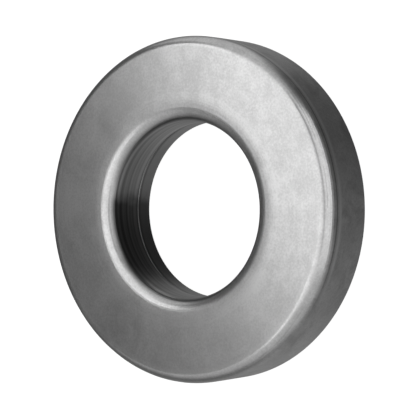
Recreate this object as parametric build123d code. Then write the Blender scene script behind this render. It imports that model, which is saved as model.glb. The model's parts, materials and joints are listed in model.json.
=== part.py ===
from build123d import *
import os

os.makedirs("parts", exist_ok=True)

# A thrust ball bearing held together by its own pressed-steel shell, in millimetres.
# It lies on its back face. The origin is the centre of that face, and +Z is the axis of
# rotation, pointing out through the shell's flat front face.
# Each ring is one section, radius along X and height along Z, turned about Z. A corner of
# a section is (radius, height, corner radius), and a corner radius of 0 is a sharp corner.

# Envelope
outer_r = 30.5
height = 12.0

# Shell: one piece of sheet, with a lip turned down into the bore and a crimp at the back
sheet = 1.2
shell_bore_r = 15.6
shoulder_r = 2.6
lip_r = 2.25
collar_end_z = 3.95
collar_edge_r = 0.45
crimp_z = 0.25
crimp_sheet = 0.8
crimp_bore_r = 27.9
crimp_corner_r = 0.4
crimp_edge_r = 0.3

# Balls
ball_count = 18
ball_r = 3.175
pitch_r = 23.2
ball_z = 5.25

# Races: the grooves are a little wider than the balls, which run free of them
groove_conformity = 0.54
groove_r = groove_conformity * 2 * ball_r
groove_gap = 0.05
edge_r = 0.35
upper_race_z = 6.9
upper_race_inner_gap = 0.2
upper_race_outer_gap = 0.02
upper_race_shoulder_r = 1.6
upper_race_bevel = 1.5
lower_race_bore_r = 15.9
lower_race_outer_r = 29.0
lower_race_top_z = 3.6
crimp_play = 0.3

# Cage: thin sheet bent to a slanted channel, with a pocket for each ball
cage_sheet = 0.6
cage_inner_r = 18.4
cage_outer_r = 28.0
cage_half_height = 1.3
cage_bend_r = 0.7
pocket_r = 3.3


def turned(*corners):
    """The ring that a closed section makes about the Z axis."""
    points = [(r, z) for r, z, corner_r in corners]
    corner_radii = [corner_r for r, z, corner_r in corners]
    outline = FilletPolyline(*points, radius=corner_radii, close=True)
    return revolve(Plane.XZ * make_face(outline), axis=Axis.Z)


def at_each_ball(solid):
    """Copies of a solid, centred on each ball."""
    spots = Pos(Z=ball_z) * PolarLocations(pitch_r, ball_count)
    return [spot * solid for spot in spots]


def make_shell():
    """Flat face, rounded shoulder and skirt, lip and collar in the bore, crimp at the back."""
    inside_z = height - sheet
    inside_r = outer_r - sheet
    collar_r = shell_bore_r + sheet
    crimp_top_z = crimp_z + crimp_sheet
    return turned(
        (outer_r, height, shoulder_r),
        (shell_bore_r, height, lip_r),
        (shell_bore_r, collar_end_z, collar_edge_r),
        (collar_r, collar_end_z, collar_edge_r),
        (collar_r, inside_z, lip_r - sheet),
        (inside_r, inside_z, shoulder_r - sheet),
        (inside_r, crimp_top_z, 0),
        (crimp_bore_r, crimp_top_z, crimp_edge_r),
        (crimp_bore_r, crimp_z, crimp_edge_r),
        (outer_r, crimp_z, crimp_corner_r),
    )


def make_upper_race():
    """Ring against the inside of the shell's face, with its groove underneath."""
    top_z = height - sheet
    bore_r = shell_bore_r + sheet + upper_race_inner_gap
    rim_r = outer_r - sheet - upper_race_outer_gap
    ring = turned(
        (bore_r, upper_race_z, edge_r),
        (rim_r, upper_race_z, edge_r),
        (rim_r, top_z, upper_race_shoulder_r),
        (bore_r + upper_race_bevel, top_z, edge_r),
        (bore_r, top_z - upper_race_bevel, edge_r),
    )
    groove_z = ball_z + ball_r + groove_gap - groove_r
    return ring - Pos(Z=groove_z) * Torus(pitch_r, groove_r)


def make_lower_race():
    """Ring that makes the back face, stepped at its rim for the shell's crimp."""
    step_r = crimp_bore_r - crimp_play
    step_z = crimp_z + crimp_sheet + crimp_play
    ring = turned(
        (lower_race_bore_r, 0, edge_r),
        (step_r, 0, edge_r),
        (step_r, step_z, 0),
        (lower_race_outer_r, step_z, edge_r),
        (lower_race_outer_r, lower_race_top_z, edge_r),
        (lower_race_bore_r, lower_race_top_z, edge_r),
    )
    groove_z = ball_z - ball_r - groove_gap + groove_r
    return ring - Pos(Z=groove_z) * Torus(pitch_r, groove_r)


def make_cage():
    """Channel whose web slants through the balls' centres, so each pocket holds its ball."""
    half_sheet = cage_sheet / 2
    inner_r = cage_inner_r + half_sheet
    outer_side_r = cage_outer_r - half_sheet
    low_z = ball_z - cage_half_height
    high_z = ball_z + cage_half_height
    middle = FilletPolyline(
        (inner_r, low_z),
        (inner_r, high_z - half_sheet),
        (outer_side_r, low_z + half_sheet),
        (outer_side_r, high_z),
        radius=cage_bend_r,
    )
    ring = revolve(Plane.XZ * trace(middle, cage_sheet), axis=Axis.Z)
    return ring - at_each_ball(Sphere(pocket_r))


def write(solid, name):
    solid.label = name
    export_step(solid, f"parts/{name}.step")


write(make_shell(), "shell")
write(make_upper_race(), "upper_race")
write(make_lower_race(), "lower_race")
write(make_cage(), "cage")
for number, ball in enumerate(at_each_ball(Sphere(ball_r)), start=1):
    write(ball, f"ball_{number:02d}")
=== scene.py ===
import json
from math import atan2, ceil, cos, hypot, pi, radians, sin, sqrt, tan

import bpy
import numpy as np
from mathutils import Matrix, Vector


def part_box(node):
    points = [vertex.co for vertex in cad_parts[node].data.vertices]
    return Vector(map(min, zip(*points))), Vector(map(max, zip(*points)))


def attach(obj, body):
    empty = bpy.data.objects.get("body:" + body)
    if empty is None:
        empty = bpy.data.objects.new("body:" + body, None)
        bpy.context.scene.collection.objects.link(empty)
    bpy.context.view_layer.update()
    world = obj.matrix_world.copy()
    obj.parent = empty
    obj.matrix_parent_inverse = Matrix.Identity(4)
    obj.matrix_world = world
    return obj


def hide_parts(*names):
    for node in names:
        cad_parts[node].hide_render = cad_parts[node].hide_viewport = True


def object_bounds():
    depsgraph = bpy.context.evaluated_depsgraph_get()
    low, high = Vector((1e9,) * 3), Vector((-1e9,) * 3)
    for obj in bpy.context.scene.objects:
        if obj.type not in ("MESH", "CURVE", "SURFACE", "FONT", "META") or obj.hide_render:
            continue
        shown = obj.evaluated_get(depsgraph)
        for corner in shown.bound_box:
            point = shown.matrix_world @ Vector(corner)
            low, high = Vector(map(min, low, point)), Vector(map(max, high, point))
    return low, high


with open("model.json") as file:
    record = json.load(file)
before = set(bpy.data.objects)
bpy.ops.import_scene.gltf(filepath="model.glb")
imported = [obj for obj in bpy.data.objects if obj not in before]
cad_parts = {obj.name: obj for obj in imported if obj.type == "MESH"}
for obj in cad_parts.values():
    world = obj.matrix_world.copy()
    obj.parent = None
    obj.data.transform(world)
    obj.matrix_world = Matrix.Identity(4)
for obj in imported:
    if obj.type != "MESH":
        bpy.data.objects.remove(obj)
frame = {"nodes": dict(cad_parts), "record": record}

cad_low, cad_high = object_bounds()

# ------------------------------------------------------------------ sizes
# Metres, in the row's frame: the bearing lies on its back face, with +Z out of its front face.
MM = 0.001
mount_r = {m["name"]: m["dims"].get("r_mm", 0) * MM for m in frame["record"]["mounts"]}

outer_r = cad_high.x
height = cad_high.z
collar_bore_r = mount_r["collar_bore"]
race_bore_r = mount_r["race_bore"]

# Shell: one sheet. Its shoulder has two bends, with a short slope between them.
sheet = 1.2 * MM
shoulder_r = 1.6 * MM
shoulder_slope = radians(50)
shoulder_side_r = 3.0 * MM
dish_r = 18.9 * MM
dish_slope = radians(3.2)
dish_bend_r = 30 * MM
lip_r = 2.4 * MM
collar_end_z = 3.95 * MM
collar_edge_r = 0.45 * MM
crimp_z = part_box("shell")[0].z
crimp_sheet = 0.8 * MM
crimp_bore_r = 27.9 * MM
crimp_corner_r = 0.4 * MM
crimp_edge_r = 0.3 * MM
crimp_play = 0.3 * MM
sharp_r = 0.08 * MM

# What pressing left on the shell: a low ridge round the face, and a neck round the skirt
ridge_r = 28.6 * MM
neck_depth = 2.9 * MM
mark_width = 0.7 * MM

ball_low, ball_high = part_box("ball_01")
ball_r = (ball_high.z - ball_low.z) / 2
ball_z = (ball_high.z + ball_low.z) / 2
pitch_r = ball_high.x - ball_r
groove_r = 1.08 * ball_r
groove_gap = 0.05 * MM
groove_z = ball_z - ball_r - groove_gap + groove_r
race_edge_r = 0.35 * MM

# Mesh fineness. A flat stretch also has a point close to each end, which keeps it shading flat.
turns = 300
line_step = 0.8 * MM
arc_step = radians(8)
hold = 0.03 * MM


# ------------------------------------------------------------------ mesh building
def arc(centre, radius, start, end):
    """Points from angle start to angle end about a centre, ends included."""
    count = max(3, ceil(abs(end - start) / arc_step))
    angles = [start + (end - start) * k / count for k in range(count + 1)]
    return [(centre[0] + radius * cos(a), centre[1] + radius * sin(a)) for a in angles]


def corner_arc(before, corner, after, radius):
    """The arc that rounds a corner of an outline."""
    here = Vector(corner)
    towards_before = (Vector(before) - here).normalized()
    towards_after = (Vector(after) - here).normalized()
    half = towards_before.angle(towards_after) / 2
    centre = here + (towards_before + towards_after).normalized() * radius / sin(half)
    start = here + towards_before * radius / tan(half) - centre
    end = here + towards_after * radius / tan(half) - centre
    first = atan2(start.y, start.x)
    turn = (atan2(end.y, end.x) - first + pi) % (2 * pi) - pi
    return arc(centre, radius, first, first + turn)


def filled(points):
    """The closed outline with points added along its long straight stretches."""
    out = []
    for here, after in zip(points, points[1:] + points[:1]):
        out.append(here)
        length = hypot(after[0] - here[0], after[1] - here[1])
        if length < 4 * hold:
            continue
        count = ceil(length / line_step)
        stops = [hold / length] + [k / count for k in range(1, count)] + [1 - hold / length]
        for s in sorted(set(stops)):
            out.append((here[0] + (after[0] - here[0]) * s, here[1] + (after[1] - here[1]) * s))
    return out


def rounded_path(corners, start, end):
    """Open path from start to end through corners (radius, height, corner radius)."""
    stops = [start] + [corner[:2] for corner in corners] + [end]
    points = [start]
    for before, corner, after in zip(stops, corners, stops[2:]):
        points += corner_arc(before, corner[:2], after, corner[2])
    return points + [end]


def rounded(corners):
    """Closed outline through corners (radius, height, corner radius)."""
    path = rounded_path(corners, start=corners[-1][:2], end=corners[0][:2])
    return filled(path[1:-1])


def lathe(name, outline, relief=None):
    """Turns a closed outline about Z. The outline runs anticlockwise, with the radius to the
    right and the height up. relief(r, z, angle) moves the surface along its normal."""
    profile = np.array(outline)
    ahead = np.roll(profile, -1, axis=0) - np.roll(profile, 1, axis=0)
    normal = np.column_stack([ahead[:, 1], -ahead[:, 0]])
    normal /= np.linalg.norm(normal, axis=1)[:, None]
    angle = np.arange(turns) * 2 * pi / turns
    r, a = np.meshgrid(profile[:, 0], angle)
    z, _ = np.meshgrid(profile[:, 1], angle)
    if relief is not None:
        move = relief(r, z, a)
        r = r + normal[:, 0] * move
        z = z + normal[:, 1] * move
    verts = np.stack([r * np.cos(a), r * np.sin(a), z], axis=-1).reshape(-1, 3)
    size = len(profile)
    ring, step = np.meshgrid(np.arange(turns), np.arange(size), indexing="ij")
    next_ring = (ring + 1) % turns
    next_step = (step + 1) % size
    corners = ((ring, step), (next_ring, step), (next_ring, next_step), (ring, next_step))
    faces = np.stack([i * size + j for i, j in corners], axis=-1).reshape(-1, 4)
    return new_piece(name, verts, faces)


def new_piece(name, verts, faces):
    mesh = bpy.data.meshes.new(name)
    mesh.from_pydata(verts.tolist(), [], faces.tolist())
    mesh.polygons.foreach_set("use_smooth", [True] * len(mesh.polygons))
    mesh.validate()
    mesh.update()
    piece = bpy.data.objects.new(name, mesh)
    bpy.context.scene.collection.objects.link(piece)
    return piece


def stand_for(piece, body, node, material):
    """Puts a finished piece in the place of its CAD node."""
    piece.data.materials.append(material)
    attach(piece, body)
    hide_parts(node)


# ------------------------------------------------------------------ shader nodes
class Nodes:
    """The node tree of a material or a world, with short calls for the nodes used here."""

    def __init__(self, owner):
        owner.use_nodes = True
        self.tree = owner.node_tree
        self.tree.nodes.clear()

    def node(self, kind, **inputs):
        made = self.tree.nodes.new(kind)
        for key, value in inputs.items():
            self.feed(made.inputs[key.replace("_", " ")], value)
        return made

    def feed(self, socket, value):
        if isinstance(value, bpy.types.NodeSocket):
            self.tree.links.new(value, socket)
        else:
            socket.default_value = value

    def feed_all(self, made, values):
        for socket, value in zip(made.inputs, values):
            self.feed(socket, value)

    def maths(self, operation, *values):
        made = self.node("ShaderNodeMath")
        made.operation = operation
        self.feed_all(made, values)
        return made.outputs[0]

    def vector(self, operation, a, b, output="Vector"):
        made = self.node("ShaderNodeVectorMath")
        made.operation = operation
        self.feed_all(made, (a, b))
        return made.outputs[output]

    def ramp(self, value, low, high, low_out=0.0, high_out=1.0, smooth=True):
        """Goes from low_out to high_out as the value goes from low to high, and no further."""
        made = self.node("ShaderNodeMapRange")
        made.interpolation_type = "SMOOTHSTEP" if smooth else "LINEAR"
        self.feed_all(made, (value, low, high, low_out, high_out))
        return made.outputs[0]


class Graph(Nodes):
    """A material. Lengths are in millimetres."""

    def __init__(self, name):
        self.material = bpy.data.materials.new(name)
        super().__init__(self.material)
        self.output = self.node("ShaderNodeOutputMaterial")

    def position(self):
        """Object position in millimetres."""
        place = self.node("ShaderNodeTexCoord").outputs["Object"]
        return self.vector("MULTIPLY", place, (1 / MM,) * 3)

    def parts(self, vector):
        return self.node("ShaderNodeSeparateXYZ", Vector=vector).outputs

    def from_axis(self, place):
        """Distance from the Z axis."""
        x, y, _ = self.parts(place)
        squares = self.maths("ADD", self.maths("MULTIPLY", x, x), self.maths("MULTIPLY", y, y))
        return self.maths("SQRT", squares)

    def noise(self, place, scale, detail=3.0, roughness=0.5, distortion=0.0):
        made = self.node("ShaderNodeTexNoise", Vector=place, Scale=scale, Detail=detail,
                         Roughness=roughness, Distortion=distortion)
        return made.outputs["Fac"]

    def band(self, value, centre, width):
        """1 at centre, falling smoothly to 0 at width away."""
        away = self.maths("ABSOLUTE", self.maths("SUBTRACT", value, centre))
        return self.ramp(away, 0.0, width, 1.0, 0.0)

    def blend(self, first, *others):
        """The sum of fields, each times its share. The arguments are (field, share) pairs."""
        total = self.maths("MULTIPLY", *first)
        for field, share in others:
            total = self.maths("MULTIPLY_ADD", field, share, total)
        return total

    def tint(self, fac, a, b):
        made = self.node("ShaderNodeMix")
        made.data_type = "RGBA"
        colour_a, colour_b = made.inputs[6], made.inputs[7]
        self.feed(made.inputs["Factor"], fac)
        self.feed(colour_a, a + (1,) if isinstance(a, tuple) else a)
        self.feed(colour_b, b + (1,) if isinstance(b, tuple) else b)
        return made.outputs[2]

    def stain(self, colour, mask, strength, level):
        """The colour, moved towards a grey level by the strength where the mask is 1."""
        return self.tint(self.maths("MULTIPLY", mask, strength), colour, grey(level))

    def bump(self, field, depth):
        return self.node("ShaderNodeBump", Height=field, Distance=depth, Strength=1.0).outputs["Normal"]

    def metal(self, colour, roughness, normal):
        return self.covered(self.node("ShaderNodeBsdfPrincipled", Metallic=1.0, Base_Color=colour,
                                      Roughness=roughness, Normal=normal))

    def covered(self, shader):
        """The finished material."""
        self.feed(self.output.inputs["Surface"], shader.outputs[0])
        return self.material


def grey(level):
    return (level, level, level)


# ------------------------------------------------------------------ steel
# Grey levels, shares and noise limits are matched to the photo.
def turned_lines(g, r, z, fineness, seed):
    """Fine marks that run round the axis, the same at every angle."""
    across = g.node("ShaderNodeCombineXYZ", X=g.maths("MULTIPLY", r, fineness),
                    Y=g.maths("MULTIPLY", z, fineness), Z=seed)
    return g.noise(across.outputs[0], scale=1.0, detail=4.0, roughness=0.65)


def painted_dark_reflection(g, place):
    """1 on the side of the bore where a painted dark reflection goes, between two ragged edges. The
    angle is in radians from +Y, towards +X."""
    x, y, _ = g.parts(place)
    ragged = g.noise(place, scale=0.35)
    angle = g.maths("MULTIPLY_ADD", ragged, 0.25, g.maths("ARCTAN2", x, y))
    sharp_side = g.ramp(angle, 0.36, 0.14)
    faint_side = g.ramp(angle, -1.2, -0.55)
    return g.maths("MULTIPLY", sharp_side, faint_side)


def worn_roughness(g, field):
    """Satin, a little smoother where the field is high."""
    return g.ramp(field, 0.3, 0.7, low_out=0.31, high_out=0.278, smooth=False)


def face_smear(g, place):
    """A dark smear at one side of the front face."""
    smear_place = (-22.5, 15.0, height / MM)
    near = g.ramp(g.vector("DISTANCE", place, smear_place, output="Value"), 9.0, 2.0)
    ragged = g.noise(place, scale=0.3, distortion=1.0)
    return g.maths("MULTIPLY", near, g.ramp(ragged, 0.35, 0.65, 0.05, 0.32))


def skirt_smudges_and_painted_light(g, place, r, z, colour):
    """Smudges all over the skirt. Except towards the -X side there is also painted shade in the neck
    under the shoulder, and a painted highlight in a band where the skirt flares out below it."""
    x, _, _ = g.parts(place)
    depth = g.maths("SUBTRACT", height / MM, z)
    skirt = g.ramp(r, outer_r / MM - 0.3, outer_r / MM - 0.1)
    smudge = g.noise(place, scale=0.22, detail=5.0, roughness=0.65, distortion=0.5)
    smudge = g.maths("MULTIPLY", skirt, g.ramp(smudge, 0.45, 0.7))
    colour = g.stain(colour, smudge, strength=0.5, level=0.33)
    painted_light_side = g.maths("MULTIPLY", skirt, g.ramp(x, -18.0, -6.0))
    # Painted shade: a dark line in the neck under the shoulder.
    neck = g.maths("MULTIPLY", painted_light_side, g.band(depth, centre=2.5, width=0.26))
    colour = g.stain(colour, neck, strength=0.75, level=0.14)
    # Painted highlight: a light band where the skirt flares out.
    flare = g.maths("MULTIPLY", painted_light_side, g.band(depth, centre=3.5, width=0.7))
    return g.stain(colour, flare, strength=0.8, level=0.86)


def collar_marks_and_painted_shade(g, place, z):
    """The colour in the bore: coarse spun marks, darkened all over as painted shade, and the painted
    dark reflection over them.
    """
    along_z = g.node("ShaderNodeCombineXYZ", Z=g.maths("MULTIPLY", z, 0.7)).outputs[0]
    spun = g.noise(along_z, scale=1.0, detail=1.5)
    spun_in_painted_shade = g.tint(g.ramp(spun, 0.35, 0.65), grey(0.24), grey(0.54))
    spun_in_dark_reflection = g.tint(g.ramp(spun, 0.4, 0.62), grey(0.025), grey(0.13))
    return g.tint(g.maths("MULTIPLY", painted_dark_reflection(g, place), 0.85), spun_in_painted_shade, spun_in_dark_reflection)


def pressed_steel():
    """Satin drawn sheet: a face with cloudy stain, grain, faint turned lines and a burnished band just
    inside the shoulder, a skirt with smudges, painted shade and a painted highlight, and a collar with
    spun marks under painted shade and a painted dark reflection."""
    g = Graph("pressed_steel")
    place = g.position()
    r = g.from_axis(place)
    x, _, z = g.parts(place)
    cloud = g.noise(place, scale=0.12, roughness=0.55, distortion=0.8)
    mottle = g.noise(place, scale=0.5, detail=4.0, roughness=0.6, distortion=0.3)
    grain = g.noise(place, scale=2.6, detail=2.0, roughness=0.6)
    lines = turned_lines(g, r, z, fineness=2.2, seed=4.0)
    rings = g.maths("MULTIPLY", g.band(r, centre=20.0, width=1.8), lines)
    shade = g.blend((mottle, 0.25), (cloud, 0.35), (lines, 0.1), (grain, 0.4), (rings, 0.12))
    colour = g.tint(g.ramp(shade, 0.4, 0.71), grey(0.535), grey(0.705))
    colour = g.tint(face_smear(g, place), colour, grey(0.3))

    rubbed_side = g.ramp(x, 8.0, -20.0, 0.05, 0.2)
    burnished = g.maths("MULTIPLY", g.band(r, centre=28.4, width=0.8), rubbed_side)
    colour = g.tint(burnished, colour, grey(0.9))
    colour = skirt_smudges_and_painted_light(g, place, r, z, colour)
    # The collar takes the bore colour: spun marks with painted shade and a painted dark reflection.
    collar = g.ramp(r, collar_bore_r / MM + 1.1, collar_bore_r / MM + 0.05)
    colour = g.tint(collar, colour, collar_marks_and_painted_shade(g, place, z))

    relief = g.blend((lines, 0.15), (mottle, 0.65), (grain, 0.35))
    return g.metal(colour, worn_roughness(g, mottle), g.bump(relief, 0.014 * MM))


def ground_steel(name):
    """Ground and hardened ring: fine turned lines and light handling stain, with a bore darkened by
    painted shade and a painted dark reflection, and painted shade round the bore's upper edge, in the
    gap below the collar."""
    g = Graph(name)
    place = g.position()
    r = g.from_axis(place)
    _, _, z = g.parts(place)
    cloud = g.noise(place, scale=0.17, distortion=0.5)
    mottle = g.noise(place, scale=0.9, detail=4.0, roughness=0.6)
    lines = turned_lines(g, r, z, fineness=5.0, seed=9.0)
    shade = g.blend((mottle, 0.25), (cloud, 0.3), (lines, 0.45))
    colour = g.tint(g.ramp(shade, 0.3, 0.7), grey(0.4), grey(0.62))

    bore = g.ramp(r, race_bore_r / MM + 0.5, race_bore_r / MM + 0.1)
    # Painted shade: the whole race bore is darkened.
    colour = g.stain(colour, bore, strength=0.55, level=0.3)
    # Painted dark reflection on one side of the race bore, over its painted shade.
    reflection_mask = painted_dark_reflection(g, place)
    colour = g.stain(colour, g.maths("MULTIPLY", bore, reflection_mask), strength=0.7, level=0.06)
    # Painted shade round the bore's upper edge, below the collar, darker still under the painted dark
    # reflection.
    edge = g.ramp(r, race_bore_r / MM + 1.4, race_bore_r / MM + 1.0)
    gap_shade = g.maths("MULTIPLY", edge, g.ramp(z, 2.7, 3.1))
    colour = g.stain(colour, gap_shade, strength=g.maths("MULTIPLY_ADD", reflection_mask, 0.3, 0.5), level=0.09)

    relief = g.blend((mottle, 0.4), (lines, 0.6))
    return g.metal(colour, worn_roughness(g, cloud), g.bump(relief, 0.006 * MM))


def cage_steel():
    """Thin pressed strip, grey with a film of grease that gathers in patches."""
    g = Graph("cage_steel")
    place = g.position()
    smear = g.noise(place, scale=0.35, detail=4.0, roughness=0.6, distortion=1.2)
    grain = g.noise(place, scale=4.0)
    greasy, bare = (0.36, 0.33, 0.28), (0.6, 0.6, 0.59)
    colour = g.tint(g.ramp(smear, 0.35, 0.65), greasy, bare)
    colour = g.stain(colour, grain, strength=0.25, level=0.3)
    roughness = g.ramp(smear, 0.3, 0.7, 0.22, 0.42, smooth=False)
    relief = g.maths("MULTIPLY_ADD", grain, 0.4, smear)
    return g.metal(colour, roughness, g.bump(relief, 0.02 * MM))


def ball_steel():
    """Polished chrome steel with a faint running track and a thin film of oil."""
    g = Graph("ball_steel")
    place = g.position()
    _, _, z = g.parts(place)
    smear = g.noise(place, scale=0.6, distortion=0.8)
    specks = g.noise(place, scale=6.0, detail=2.0)
    from_middle = g.maths("ABSOLUTE", g.maths("SUBTRACT", z, ball_z / MM))
    track = g.ramp(from_middle, 2.3, 2.9)
    colour = g.tint(g.ramp(smear, 0.3, 0.7), grey(0.62), grey(0.76))
    colour = g.stain(colour, track, strength=0.3, level=0.5)
    film = g.ramp(smear, 0.3, 0.7, 0.05, 0.12, smooth=False)
    roughness = g.maths("MULTIPLY_ADD", track, 0.08, film)
    return g.metal(colour, roughness, g.bump(specks, 0.0015 * MM))


# ------------------------------------------------------------------ camera
# The view is from 54 degrees above the face, rolled so that the row's +X is up in the picture.
# Its direction, place and lens are fitted to the outlines of the rings in the photo. The lens
# and the sensor are in millimetres.
view_right = Vector((-0.00259, -0.81280, -0.58254)).normalized()
view_look = Vector((-0.00362, 0.58255, -0.81279)).normalized()
view_up = view_right.cross(view_look).normalized()
face_centre = Vector((0, 0, height))
camera_place = face_centre + outer_r * Vector((0.0288, -5.2556, 7.0358))
lens = 131.5
sensor = 36


def make_camera():
    data = bpy.data.cameras.new("camera")
    data.sensor_width = sensor
    data.lens = lens
    data.clip_start = 0.01
    data.clip_end = 20
    camera = bpy.data.objects.new("camera", data)
    turn = Matrix((view_right, view_up, -view_look)).transposed()
    camera.matrix_world = Matrix.Translation(camera_place) @ turn.to_4x4()
    bpy.context.scene.collection.objects.link(camera)
    bpy.context.scene.camera = camera


# ------------------------------------------------------------------ light and floor
middle = Vector((0, 0, height / 2))
white = (1, 1, 1, 1)


def studio_direction(left, up):
    """Direction from the bearing, in degrees left of and above the line to the camera."""
    left, up = radians(left), radians(up)
    level = -view_look * cos(left) - view_right * sin(left)
    return level * cos(up) + view_up * sin(up)


def softbox(name, corners, distance, radiance):
    """An evenly lit flat panel. Its corners are directions, (left, up), from the bearing."""
    ways = [studio_direction(*corner) for corner in corners]
    facing = sum(ways, Vector()).normalized()
    verts = np.array([middle + way * distance / way.dot(facing) for way in ways])
    panel = new_piece(name, verts, np.array([range(len(corners))]))
    g = Graph(name)
    light = g.node("ShaderNodeEmission", Color=white, Strength=radiance)
    panel.data.materials.append(g.covered(light))
    panel.visible_camera = False
    panel.visible_shadow = False


class Studio(Nodes):
    """The soft light around the bearing, worked out for each direction of view."""

    def __init__(self):
        world = bpy.data.worlds.new("studio")
        bpy.context.scene.world = world
        super().__init__(world)
        self.way = self.node("ShaderNodeTexCoord").outputs["Generated"]

    def along(self, axis):
        """How far each direction goes along an axis, from -1 to 1."""
        return self.vector("DOT_PRODUCT", self.way, tuple(axis), output="Value")

    def total(self, *lights):
        sum_so_far = lights[0]
        for light in lights[1:]:
            sum_so_far = self.maths("ADD", sum_so_far, light)
        return sum_so_far

    def finish(self, light):
        """Lights the scene, and shows plain white to the camera."""
        ambient = self.node("ShaderNodeBackground", Strength=light)
        backdrop = self.node("ShaderNodeBackground", Color=white)
        seen = self.node("ShaderNodeLightPath").outputs["Is Camera Ray"]
        mix = self.node("ShaderNodeMixShader")
        self.feed_all(mix, (seen, ambient.outputs[0], backdrop.outputs[0]))
        out = self.node("ShaderNodeOutputWorld")
        self.feed(out.inputs["Surface"], mix.outputs[0])


def make_light():
    """Two large softboxes with a narrow gap between them, the left one with a brighter strip
    along its far side, and a dim room around them that is lit a little from several sides."""
    softbox("overhead", [(8, -30), (47.5, -28), (71.2, 10), (79, 34), (19, 52)],
            distance=0.2, radiance=1.13)
    softbox("hot_edge", [(39.5, -29), (47.5, -28), (71.2, 10), (79, 34), (71, 36), (62.5, 10)],
            distance=0.19, radiance=1.9)
    softbox("ahead", [(-66, -28), (-7, -24), (-7, 48), (-66, 48)],
            distance=0.25, radiance=1.0)

    # Up, left and front are the camera's. Each ramp is a level of light against one of them.
    s = Studio()
    up = s.along(view_up)
    left = s.along(-view_right)
    front = s.along(-view_look)
    high = s.along((0, 0, 1))
    ceiling = s.maths("MULTIPLY", s.ramp(up, 0.62, 0.8, 0.0, 0.7), s.ramp(left, -0.45, 0.0))
    glow = s.maths("MULTIPLY", s.ramp(up, -0.15, -0.42), s.ramp(front, -0.45, 0.45, 0.06, 0.6))
    between = s.ramp(front, 0.75, 0.93, 0.0, 0.5)
    far_level = s.total(s.ramp(up, 0.0, 0.3, 0.0, 0.18), s.ramp(up, 0.0, -0.3, 0.0, 0.12))
    far_side = s.maths("MULTIPLY", s.ramp(left, -0.6, -0.1), far_level)
    near_level = s.ramp(up, -0.1, 0.35, 0.165, 0.09)
    foot_level = s.ramp(up, -0.45, -0.75, 0.0, 0.12)
    under = s.total(near_level, foot_level, far_side)
    room = s.ramp(high, -0.8, -0.2, under, 0.095)
    s.finish(s.total(room, ceiling, glow, between))


def make_floor():
    """Pale floor. It is bright enough by itself to look white, and shows only a faint shadow.
    It is clear from below, so that the back of the bearing can be looked at."""
    reach = 6.0
    g = Graph("pale_floor")
    shine = g.node("ShaderNodeEmission", Color=white, Strength=0.9)
    paint = g.node("ShaderNodeBsdfDiffuse", Color=grey(0.35) + (1,))
    lit = g.node("ShaderNodeAddShader")
    g.feed_all(lit, (shine.outputs[0], paint.outputs[0]))
    clear = g.node("ShaderNodeBsdfTransparent")
    from_below = g.node("ShaderNodeNewGeometry").outputs["Backfacing"]
    mix = g.node("ShaderNodeMixShader")
    g.feed_all(mix, (from_below, lit.outputs[0], clear.outputs[0]))
    corners = np.array([(-1, -1, 0), (1, -1, 0), (1, 1, 0), (-1, 1, 0)], float)
    floor = new_piece("floor", reach * corners, np.array([(0, 1, 2, 3)]))
    floor.data.materials.append(g.covered(mix))
    floor.visible_glossy = False
    floor.visible_shadow = False


# ------------------------------------------------------------------ pieces
def shell_outline():
    """One sheet: outside from the skirt over the face and down the collar, then back inside."""
    collar_r = collar_bore_r + sheet
    inside_r, inside_z = outer_r - sheet, height - sheet
    dish_drop = (dish_r - collar_bore_r) * tan(dish_slope)
    side_turn = pi / 2 - shoulder_slope
    across = shoulder_r * tan(shoulder_slope / 2) + shoulder_side_r * tan(side_turn / 2)
    shoulder_in = across * cos(shoulder_slope)
    shoulder_down = across * sin(shoulder_slope)
    return rounded([
        (outer_r, height - shoulder_down, shoulder_side_r),
        (outer_r - shoulder_in, height, shoulder_r),
        (dish_r, height, dish_bend_r),
        (collar_bore_r, height - dish_drop, lip_r),
        (collar_bore_r, collar_end_z, collar_edge_r),
        (collar_r, collar_end_z, collar_edge_r),
        (collar_r, inside_z, lip_r - sheet),
        (outer_r - shoulder_in - sheet * tan(shoulder_slope / 2), inside_z, shoulder_r - sheet),
        (inside_r, height - shoulder_down - sheet * tan(side_turn / 2), shoulder_side_r - sheet),
        (inside_r, crimp_z + crimp_sheet, sharp_r),
        (crimp_bore_r, crimp_z + crimp_sheet, crimp_edge_r),
        (crimp_bore_r, crimp_z, crimp_edge_r),
        (outer_r, crimp_z, crimp_corner_r),
    ])


def hill(value, centre, width):
    return np.exp(-((value - centre) / width) ** 2)


def waves(x, y, count, shortest, longest, seed):
    """Smooth random unevenness, mostly between -1 and 1, with wavelengths in the given range."""
    rng = np.random.default_rng(seed)
    total = np.zeros_like(x)
    for _ in range(count):
        length = rng.uniform(shortest, longest)
        heading, phase = rng.uniform(0, 2 * pi, 2)
        total += np.sin(2 * pi * (x * cos(heading) + y * sin(heading)) / length + phase)
    return total / sqrt(count)


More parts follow.
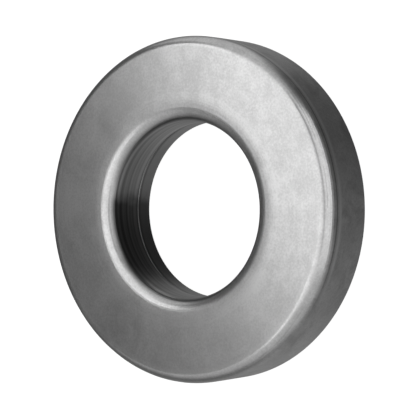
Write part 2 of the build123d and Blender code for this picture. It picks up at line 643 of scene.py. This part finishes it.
def shell_relief(r, z, angle):
    """The unevenness that pressing leaves: a wavy face with a low ridge, and a neck under the
    shoulder where the skirt was drawn in before it flares out again. Heights are in millimetres
    until the last line."""
    x, y = r * np.cos(angle), r * np.sin(angle)
    long_waves = 0.0035 * waves(x, y, 12, shortest=9 * MM, longest=26 * MM, seed=3)
    short_waves = 0.0012 * waves(x, y, 12, shortest=4 * MM, longest=8 * MM, seed=5)
    face = z > height - 0.1 * MM
    ridge = np.where(face, 0.006 * hill(r, ridge_r, mark_width), 0.0)
    skirt = r > outer_r - 0.3 * MM
    deep = 0.015 + 0.0125 * (1 + np.cos(angle))
    neck = np.where(skirt, -deep * hill(z, height - neck_depth, mark_width), 0.0)
    return (long_waves + short_waves + ridge + neck) * MM


def lower_race_outline():
    """Ring with a stepped rim. Its groove's centre is above its top face."""
    low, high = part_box("lower_race")
    step_r = crimp_bore_r - crimp_play
    step_z = crimp_z + crimp_sheet + crimp_play
    centre_rise = groove_z - high.z
    half_width = sqrt(groove_r**2 - centre_rise**2)
    swing = atan2(half_width, centre_rise)
    outside = rounded_path([
        (race_bore_r, high.z, race_edge_r),
        (race_bore_r, low.z, race_edge_r),
        (step_r, low.z, race_edge_r),
        (step_r, step_z, sharp_r),
        (high.x, step_z, race_edge_r),
        (high.x, high.z, race_edge_r),
    ], start=(pitch_r - half_width, high.z), end=(pitch_r + half_width, high.z))
    groove = arc((pitch_r, groove_z), groove_r, -pi / 2 + swing, -pi / 2 - swing)
    return filled(outside + groove[1:-1])


def finish_node(node, material):
    """Gives a CAD node that stays a better material."""
    for slot in range(len(node.data.materials)):
        node.data.materials[slot] = material


make_camera()
make_light()
make_floor()

race_steel = ground_steel("race_steel")
shell = lathe("shell_visual", shell_outline(), shell_relief)
lower_race = lathe("lower_race_visual", lower_race_outline())
stand_for(shell, "shell_side", "shell", pressed_steel())
stand_for(lower_race, "housing_side", "lower_race", race_steel)

finish_node(frame["nodes"]["upper_race"], race_steel)
finish_node(frame["nodes"]["cage"], cage_steel())
balls = [node for name, node in frame["nodes"].items() if name.startswith("ball_")]
polished = ball_steel()
for ball in balls:
    finish_node(ball, polished)

bpy.context.scene.view_settings.view_transform = "Standard"
